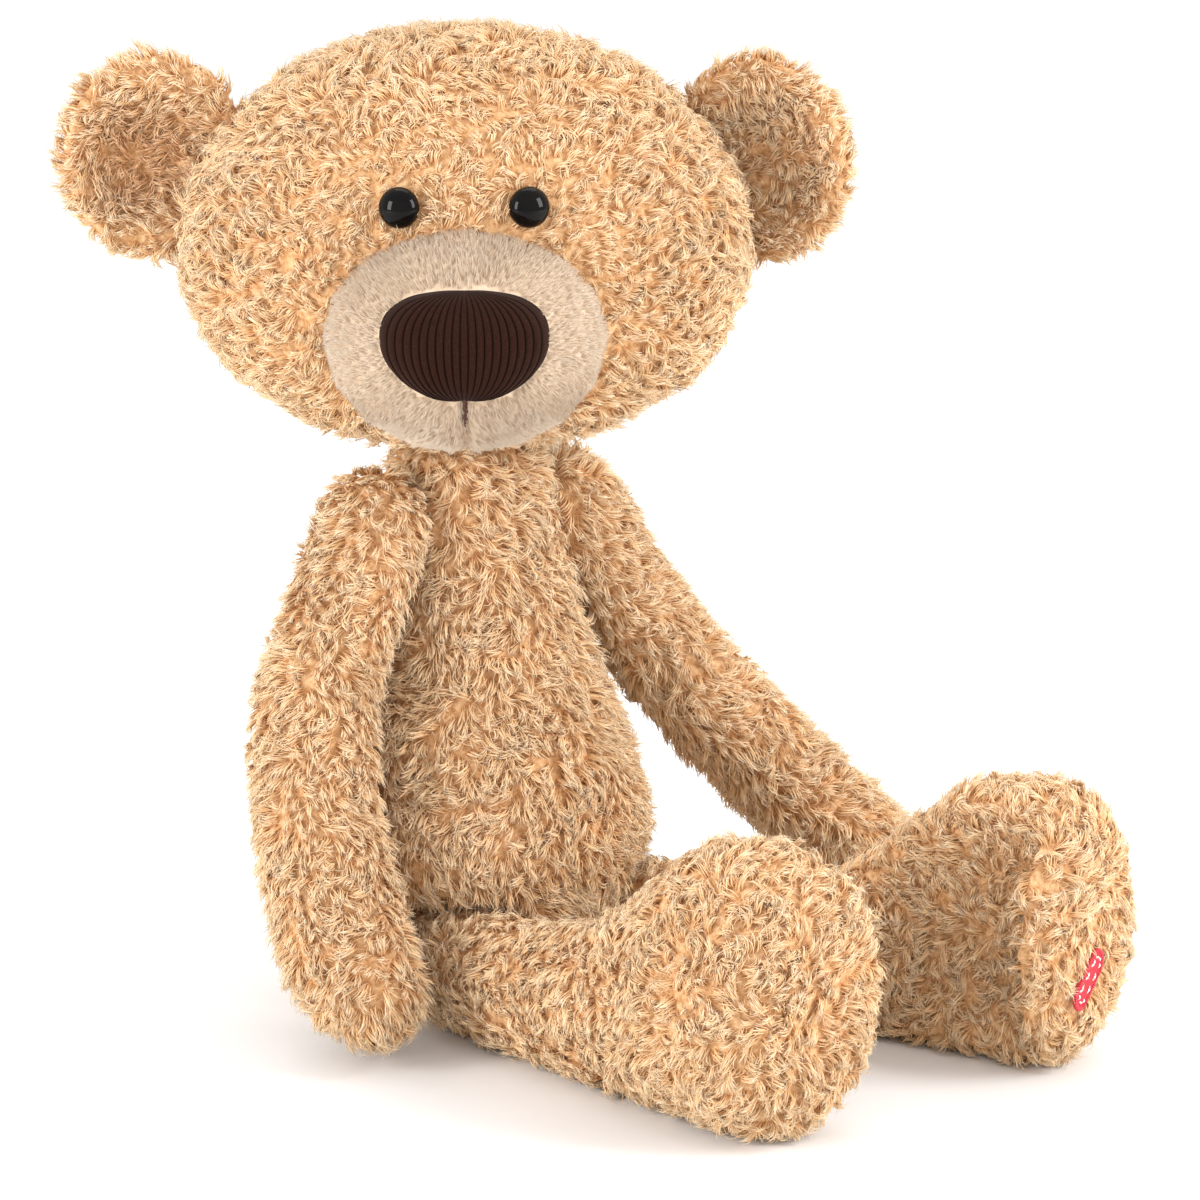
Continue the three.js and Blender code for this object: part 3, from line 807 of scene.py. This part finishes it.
def muzzle_crease(bm):
    """The seam that draws the muzzle in below the nose."""
    middle, _, half_height, _ = nose_extent()
    for vertex in bm.verts:
        place = np.array(vertex.co)
        across = (place - middle) @ HEAD_LEFT
        below = (middle - place) @ UP - half_height
        if (place - MUZZLE_MIDDLE) @ HEAD_FORWARD < 0 or below < -4 * MM:
            continue
        share = min(max((below + 4 * MM) / (5 * MM), 0), 1)
        depth = CREASE_DEPTH * share * math.exp(-((across / CREASE_WIDTH) ** 2))
        vertex.co -= Vector(unit(place - MUZZLE_MIDDLE) * depth)


def nose_width_at(rise):
    """Half width of the nose's outline, as a share, at a height from -1 to 1."""
    offset = rise - 0.1
    if offset > 0:
        return max(1 - (offset / 0.9) ** 2.35, 0) ** (1 / 2.35)
    return max(1 - (-offset / 1.1) ** 2.05, 0) ** (1 / 2.05)


def muzzle_way(places, normals):
    """The pile lies away from the nose, and down and out from the crease."""
    middle, _, half_height, front = nose_extent()
    nose = middle + HEAD_FORWARD * (front - 6 * MM)
    offset = places - nose
    away = unit(offset)
    below = np.clip((-(offset @ UP) - half_height * 0.7) / (9 * MM), 0, 1)[:, None]
    across = (offset @ HEAD_LEFT)[:, None]
    parted = -UP * 1.0 + HEAD_LEFT * np.clip(across / (7 * MM), -1, 1) * 0.75
    return away * (1 - below) + unit(parted) * below


def muzzle_length(places, normals):
    middle, half_width, half_height, _ = nose_extent()
    offset = places - middle
    across = (offset @ HEAD_LEFT) / half_width
    rise = (offset @ UP) / half_height
    outline = np.array([nose_width_at(r) if -1 < r < 1 else 0 for r in rise])
    ahead = (places - MUZZLE_MIDDLE) @ HEAD_FORWARD
    under_nose = (np.abs(across) < outline * 0.95) & (ahead > 0)
    length = np.where(under_nose, 0, MUZZLE_PILE)
    inside = nearest_distance(node_tree_of(COVERS["head"]), places) < 1.1 * MM
    return np.where(inside, 0, length)


def add_muzzle():
    backing = backing_material("muzzle_cloth", linear(204, 178, 150), linear(220, 196, 170))
    nodes = ["muzzle_cover", "muzzle_stuffing"]
    skin = cover_skin("muzzle_backing", nodes, backing, "head", 1.5 * MM, 5, shape=muzzle_crease)
    pile = muzzle_material()
    grow("muzzle", skin, "head", SHORT_PILE, muzzle_way, muzzle_length, pile, 61)
    return skin


def ridge_material(name, groove_shade, ridge, mottle, roughness=0.9):
    """Ribbed cloth, painted darker in the grooves as shade: the strand attribute's red holds the height on
    a rib.
    """
    material, tree, shader = new_material(name, roughness)
    shader.inputs["Sheen Weight"].default_value = 0.04
    shader.inputs["Sheen Roughness"].default_value = 0.5
    shader.inputs["Specular IOR Level"].default_value = 0.05
    strand = tree.nodes.new("ShaderNodeAttribute")
    strand.attribute_name = "strand"
    parts = tree.nodes.new("ShaderNodeSeparateColor")
    tree.links.new(strand.outputs["Color"], parts.inputs["Color"])
    # Painted shade: the colour darkens from the ridge down into the grooves.
    run = ramp_node(tree, [(0.0, groove_shade), (0.8, ridge)])
    tree.links.new(parts.outputs["Red"], run.inputs["Fac"])
    noise = noise_node(tree, mottle, 5.0, 0.7)
    fleck = ramp_node(tree, [(0.32, (0.5, 0.5, 0.5)), (0.68, (1.5, 1.45, 1.4))])
    tree.links.new(noise.outputs["Fac"], fleck.inputs["Fac"])
    coloured = mix_colours(tree, 1.0, run.outputs["Color"], fleck.outputs["Color"], "MULTIPLY")
    tree.links.new(coloured, shader.inputs["Base Color"])
    add_bump(tree, shader, noise, 0.6, 0.3 * MM)
    return material


def set_strand(obj, red):
    """Fills the strand attribute's red from one value for each vertex."""
    values = np.ones((len(red), 4), np.float32)
    values[:, 0] = red
    values[:, 1:3] = 0.5
    layer = obj.data.attributes.new("strand", "FLOAT_COLOR", "POINT")
    layer.data.foreach_set("color", values.ravel())


def grid_faces(rows, columns, start=0, flip=False):
    faces = []
    for i in range(rows - 1):
        for j in range(columns - 1):
            a = start + i * columns + j
            quad = (a, a + 1, a + columns + 1, a + columns)
            faces.append(quad[::-1] if flip else quad)
    return faces


def add_nose(skin):
    """A stuffed lens of corduroy whose wales run from its top to its bottom."""
    middle, half_width, half_height, front = nose_extent()
    tree = BVHTree.FromObject(skin, bpy.context.evaluated_depsgraph_get())
    columns = WALES * WALE_SAMPLES + 1
    rows = NOSE_ROWS
    face = []
    back = []
    heights = []
    top_of_pad = ahead_on(tree, middle, front)
    bulge = front - top_of_pad
    for i in range(rows):
        rise = -math.cos(math.pi * i / (rows - 1))
        width = nose_width_at(rise)
        for j in range(columns):
            share = 2 * j / (columns - 1) - 1
            place = middle + HEAD_LEFT * half_width * width * share + UP * half_height * rise
            ground = ahead_on(tree, place, front)
            round_off = max(1 - max(abs(share), abs(rise)) ** 3.2, 0)
            swell = bulge * (0.16 + 0.84 * round_off**0.55) * min(1, 40 * (1 - abs(share)) + 0.02)
            swell = swell if width > 0 else 0
            rib = abs(math.sin(math.pi * WALES * (share + 1) / 2)) ** 0.62
            lift = WALE_HEIGHT * rib * min(1, 2.2 * width) * min(1, 12 * (1 - abs(share)))
            face.append(place + HEAD_FORWARD * (ground + swell + lift))
            back.append(place + HEAD_FORWARD * (ground - 1.2 * MM))
            heights.append(rib)
    faces = grid_faces(rows, columns) + grid_faces(rows, columns, rows * columns, flip=True)
    # The near-black groove colour is painted shade between the wales.
    material = ridge_material("corduroy_cloth", linear(7, 3, 2), linear(43, 22, 14), 2000.0)
    obj = add_mesh("nose_corduroy", np.array(face + back), faces, material, "head")
    set_strand(obj, np.array(heights + [0.0] * len(back)))
    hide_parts("nose_pad")


def ahead_on(tree, place, front):
    """How far forward the muzzle's skin lies behind a place on the face."""
    start = place + HEAD_FORWARD * (front - place @ HEAD_FORWARD + 0.02)
    hit = tree.ray_cast(Vector(start), Vector(-HEAD_FORWARD))[0]
    if hit is None:
        return front - 12 * MM
    return np.array(hit) @ HEAD_FORWARD


def ring_faces(rings, sides):
    """Quads that join each ring of vertices to the next."""
    faces = []
    for i in range(rings - 1):
        for k in range(sides):
            a = i * sides + k
            b = i * sides + (k + 1) % sides
            faces.append((a, b, b + sides, a + sides))
    return faces


def tube(points, radius, sides=8, taper_ends=True):
    """Vertices and quads of a round cord through points, its end rings narrowed to a quarter of its radius
    when taper_ends is set.
    """
    points = np.asarray(points, float)
    count = len(points)
    vertices = []
    side = None
    for i in range(count):
        heading = unit(points[min(i + 1, count - 1)] - points[max(i - 1, 0)])
        if side is None:
            side = unit(np.cross(heading, UP + 0.21 * HEAD_LEFT))
        side = unit(side - heading * (side @ heading))
        other = np.cross(heading, side)
        size = radius
        if taper_ends and i in (0, count - 1):
            size = radius * 0.25
        for k in range(sides):
            turn = 2 * math.pi * k / sides
            vertices.append(points[i] + (side * math.cos(turn) + other * math.sin(turn)) * size)
    return np.array(vertices), ring_faces(count, sides)


def joined(parts):
    """Several vertex and face lists as one."""
    vertices = []
    faces = []
    count = 0
    for points, quads in parts:
        vertices.append(points)
        faces += [tuple(v + count for v in quad) for quad in quads]
        count += len(points)
    return np.concatenate(vertices), faces


def twisted(points, radius, normal, twists, plies=2):
    """A plied thread along points, as one tube for each ply."""
    points = np.asarray(points, float)
    steps = len(points)
    parts = []
    for ply in range(plies):
        strand = []
        for i, place in enumerate(points):
            heading = unit(points[min(i + 1, steps - 1)] - points[max(i - 1, 0)])
            side = unit(np.cross(heading, normal))
            other = np.cross(side, heading)
            turn = 2 * math.pi * (twists * i / (steps - 1) + ply / plies)
            strand.append(place + (side * math.cos(turn) + other * math.sin(turn)) * radius * 0.5)
        parts.append(tube(strand, radius * 0.56, 7))
    return joined(parts)


def thread_material(name, dark, light):
    """Shiny spun thread with a fine fleck."""
    material, tree, shader = new_material(name, 0.55)
    noise = noise_node(tree, 2400.0, 3.0)
    paint(tree, shader, noise, [(0.35, dark), (0.65, light)])
    return material


def add_mouth(skin):
    """A short thread down from the nose, lying in the crease."""
    tree = BVHTree.FromObject(skin, bpy.context.evaluated_depsgraph_get())
    middle, _, half_height, front = nose_extent()
    points = node_arrays(["mouth_stitch"])[0]
    top = middle @ UP - half_height * 0.93
    bottom = points[:, 2].min()
    path = []
    for i in range(25):
        rise = top + (bottom - top) * i / 24
        place = middle + UP * (rise - middle @ UP)
        path.append(place + HEAD_FORWARD * (ahead_on(tree, place, front) + 0.9 * MM))
    vertices, faces = twisted(path, 0.95 * MM, HEAD_FORWARD, 4)
    material = thread_material("mouth_thread", linear(58, 26, 20), linear(104, 60, 46))
    obj = add_mesh("mouth_thread", vertices, faces, material, "head")
    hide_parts("mouth_stitch")


def lathe(profile, origin, axis, sides=48):
    """A turned solid: profile rows are radius and height along axis."""
    axis = unit(axis)
    side = unit(np.cross(axis, UP + 0.3 * HEAD_LEFT))
    other = np.cross(axis, side)
    vertices = []
    for radius, height in profile:
        for k in range(sides):
            turn = 2 * math.pi * k / sides
            spoke = side * math.cos(turn) + other * math.sin(turn)
            vertices.append(origin + axis * height + spoke * radius)
    return np.array(vertices), ring_faces(len(profile), sides)


def eye_material():
    """Polished black plastic, a touch browner in places."""
    material, tree, shader = new_material("eye_gloss", 0.04)
    noise = noise_node(tree, 160.0)
    paint(tree, shader, noise, [(0.3, linear(3, 3, 4)), (0.7, linear(16, 11, 9))])
    shader.inputs["IOR"].default_value = 1.24
    return material


def add_eyes():
    material = eye_material()
    for side in ("right", "left"):
        axis = eye_axis(side)
        points = node_arrays([f"{side}_eye"])[0]
        height = points @ axis
        centre = node_mean(f"{side}_eye")
        centre = centre - axis * (centre @ axis)
        radius = np.linalg.norm(points - centre - height[:, None] * axis, axis=1).max()
        front = height.max()
        rear = height.min()
        rim = front - 5.8 * MM
        dome = rim + 0.7 * MM
        profile = [(POINT, rear), (EYE_STEM, rear), (EYE_STEM, rim), (radius * 0.93, rim)]
        profile.append((radius, rim + 0.5 * MM))
        for i in range(1, 17):
            turn = math.pi / 2 * i / 16
            height_here = dome + (front - dome) * math.sin(turn)
            profile.append((max(radius * math.cos(turn), POINT), height_here))
        vertices, faces = lathe(profile, centre, axis)
        obj = add_mesh(f"{side}_glass_eye", vertices, faces, material, "head")
        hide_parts(f"{side}_eye")


# ---- the torso and limbs ----
def torso_way(places, normals):
    return -UP + 0.35 * unit(places * np.array([1, 1, 0]))


def torso_length(places, normals):
    return np.full(len(places), TORSO_PILE)


def add_torso(backing, plush):
    skin = cover_skin("torso_backing", COVERS["torso"] + ["torso_stuffing"], backing, "torso")
    grow("torso", skin, "torso", PLUSH, torso_way, torso_length, plush, 31)


def add_arm(cover, backing, plush, seed):
    skin = cover_skin(f"{cover}_backing", COVERS[cover] + [f"{cover}_stuffing"], backing, cover)
    start = node_mean(f"{cover}_disc")
    points = node_arrays(COVERS[cover])[0]
    end = points[points[:, 2] < points[:, 2].min() + 0.03].mean(axis=0)
    axis = unit(end - start)

    def way(places, normals):
        return np.broadcast_to(axis, places.shape)

    def length(places, normals):
        return np.full(len(places), ARM_PILE)

    grow(cover, skin, cover, PLUSH, way, length, plush, seed)


def add_leg(cover, backing, plush, seed):
    skin = cover_skin(f"{cover}_backing", COVERS[cover] + [f"{cover}_stuffing"], backing, cover)
    start = node_mean(f"{cover}_disc")
    end = node_middle(f"{cover}_sole")
    axis = unit((end - start) * np.array([1, 1, 0]))
    reach = (end - start) @ axis

    def way(places, normals):
        along = ((places - start) @ axis) / reach
        radial = unit(places - (end - axis * 20 * MM))
        foot = np.clip((along - 0.62) / 0.25, 0, 1)[:, None]
        return axis * (1 - foot) + radial * foot

    def length(places, normals):
        made = np.full(len(places), LEG_PILE)
        if cover == "left_leg":
            made = clear_of_patch(places, made)
        return made

    grow(cover, skin, cover, NUBBY, way, length, plush, seed)


# ---- the patch on the left sole ----
PATCH_STITCHES = 11
PATCH_OVERLOCK = 74


def patch_frame():
    """Middle, long, short and outward directions of the patch, and its half sizes along them."""
    points = node_arrays(["foot_patch"])[0]
    ways = np.linalg.svd(points - points.mean(axis=0), full_matrices=False)[2]
    outward = node_middle("left_leg_sole") - node_mean("left_leg_disc")
    if ways[2] @ outward < 0:
        ways[2] = -ways[2]
    if ways[0] @ UP < 0:
        ways[0] = -ways[0]
    ways[1] = np.cross(ways[2], ways[0])
    spans = points @ ways.T
    low = spans.min(axis=0)
    high = spans.max(axis=0)
    return ((low + high) / 2) @ ways, ways, (high - low) / 2


def clear_of_patch(places, length):
    """No pile under the patch, and short pile beside it."""
    middle, ways, half = patch_frame()
    local = (places - middle) @ ways.T
    along = np.maximum(np.abs(local[:, 0]) - (half[0] - half[1]), 0)
    gap = np.hypot(along, local[:, 1]) - half[1]
    near = np.abs(local[:, 2]) < 12 * MM
    most = 2.6 * MM + np.maximum(gap, 0) * 0.9
    length = np.where(near & (gap < 4 * MM), np.minimum(length, most), length)
    return np.where(near & (gap < 0.4 * MM), 0, length)


def stadium(half, share, count):
    """Places round a bar with round ends, drawn in towards its middle line by a share."""
    straight = half[0] - half[1]
    radius = half[1]
    lap = 4 * straight + 2 * math.pi * radius
    rows = []
    for i in range(count):
        s = lap * i / count
        if s < 2 * straight:
            base = np.array([straight - s, 0.0])
            way = np.array([0.0, 1.0])
        elif s < 2 * straight + math.pi * radius:
            turn = math.pi / 2 + (s - 2 * straight) / radius
            base = np.array([-straight, 0.0])
            way = np.array([math.cos(turn), math.sin(turn)])
        elif s < 4 * straight + math.pi * radius:
            base = np.array([-straight + (s - 2 * straight - math.pi * radius), 0.0])
            way = np.array([0.0, -1.0])
        else:
            turn = -math.pi / 2 + (s - 4 * straight - math.pi * radius) / radius
            base = np.array([straight, 0.0])
            way = np.array([math.cos(turn), math.sin(turn)])
        rows.append(base + way * radius * share)
    return np.array(rows)


def on_patch(shape, flat, height):
    """A place on the patch from its two flat measures and its height."""
    middle, ways, _ = shape
    return middle + flat[0] * ways[0] + flat[1] * ways[1] + height * ways[2]


def patch_edge(shape):
    """Overlock loops over the rim of the patch."""
    _, ways, half = shape
    loops = []
    inners = stadium(half, 0.74, PATCH_OVERLOCK)
    outers = stadium(half, 1.05, PATCH_OVERLOCK)
    for inner, outer in zip(inners, outers):
        top = on_patch(shape, inner, half[2] * 0.9)
        crest = on_patch(shape, inner * 0.25 + outer * 0.75, half[2] * 1.25)
        foot = on_patch(shape, outer, -half[2] * 0.5)
        rise = (top + crest) / 2 + ways[2] * 0.15 * MM
        loops.append(tube([top, rise, crest, (crest + foot) / 2, foot], 0.3 * MM, 6))
    return joined(loops)


def patch_stitches(shape):
    """A running stitch, each stitch arched over the cloth."""
    _, ways, half = shape
    loop = stadium(half, 0.46, PATCH_STITCHES * 10)
    stitches = []
    for k in range(PATCH_STITCHES):
        path = []
        for i in range(7):
            arch = math.sin(math.pi * i / 6)
            path.append(on_patch(shape, loop[k * 10 + i], half[2] * (0.75 + 0.75 * arch)))
        stitches.append(twisted(path, 0.36 * MM, ways[2], 1.2))
    return joined(stitches)


def add_patch():
    """A red woven patch with an overlocked edge and a white running stitch."""
    shape = patch_frame()
    half = shape[2]
    count = 120
    profile = [
        (0.0, -1.0), (0.9, -1.0), (1.0, -0.4), (1.0, 0.3),
        (0.95, 0.75), (0.8, 0.95), (0.5, 1.05), (0.0, 1.1),
    ]
    vertices = []
    for share, height in profile:
        vertices += [on_patch(shape, flat, height * half[2]) for flat in stadium(half, share, count)]
    cloth = weave_material("patch_weave", linear(168, 22, 40), linear(214, 52, 66))
    faces = ring_faces(len(profile), count)
    obj = add_mesh("patch_cloth", np.array(vertices), faces, cloth, "left_leg")
    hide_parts("foot_patch")
    red = thread_material("patch_thread", linear(176, 24, 42), linear(232, 70, 84))
    add_mesh("patch_edge", *patch_edge(shape), red, "left_leg")
    white = thread_material("stitch_thread", linear(226, 220, 214), linear(252, 250, 246))
    stitches = add_mesh("patch_stitches", *patch_stitches(shape), white, "left_leg")


def weave_material(name, dark, light):
    """Close twill: diagonal bands with a fine fleck."""
    material, tree, shader = new_material(name, 0.75)
    place = tree.nodes.new("ShaderNodeTexCoord")
    wave = tree.nodes.new("ShaderNodeTexWave")
    wave.bands_direction = "DIAGONAL"
    wave.inputs["Scale"].default_value = 420.0
    wave.inputs["Distortion"].default_value = 1.5
    tree.links.new(place.outputs["Object"], wave.inputs["Vector"])
    paint(tree, shader, wave, [(0.2, dark), (0.8, light)])
    add_bump(tree, shader, wave, 0.5, 0.3 * MM)
    return material


# ---- what stays as the CAD drew it: the filling and the joints inside ----
def finish_inner_nodes():
    """Procedural finishes for the CAD nodes that no piece stands for."""
    filling = backing_material("filling_fibre", linear(214, 208, 198), linear(246, 243, 236))
    nylon, tree, shader = new_material("nylon_moulding", 0.42)
    noise = noise_node(tree, 90.0)
    paint(tree, shader, noise, [(0.3, linear(206, 201, 190)), (0.7, linear(226, 222, 212))])
    for name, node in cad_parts.items():
        if node.hide_render:
            continue
        node.data.materials.clear()
        node.data.materials.append(filling if name.endswith("_stuffing") else nylon)


def add_bear():
    backing = backing_material("backing_cloth", linear(184, 132, 82), linear(230, 188, 140))
    plush = plush_material()
    add_head(backing, plush)
    muzzle_skin = add_muzzle()
    add_nose(muzzle_skin)
    add_mouth(muzzle_skin)
    add_eyes()
    add_torso(backing, plush)
    for number, cover in enumerate(("right_arm", "left_arm")):
        add_arm(cover, backing, plush, 41 + number)
    for number, cover in enumerate(("right_leg", "left_leg")):
        add_leg(cover, backing, plush, 43 + number)
    add_patch()
    finish_inner_nodes()


add_camera()
add_studio()
add_bear()
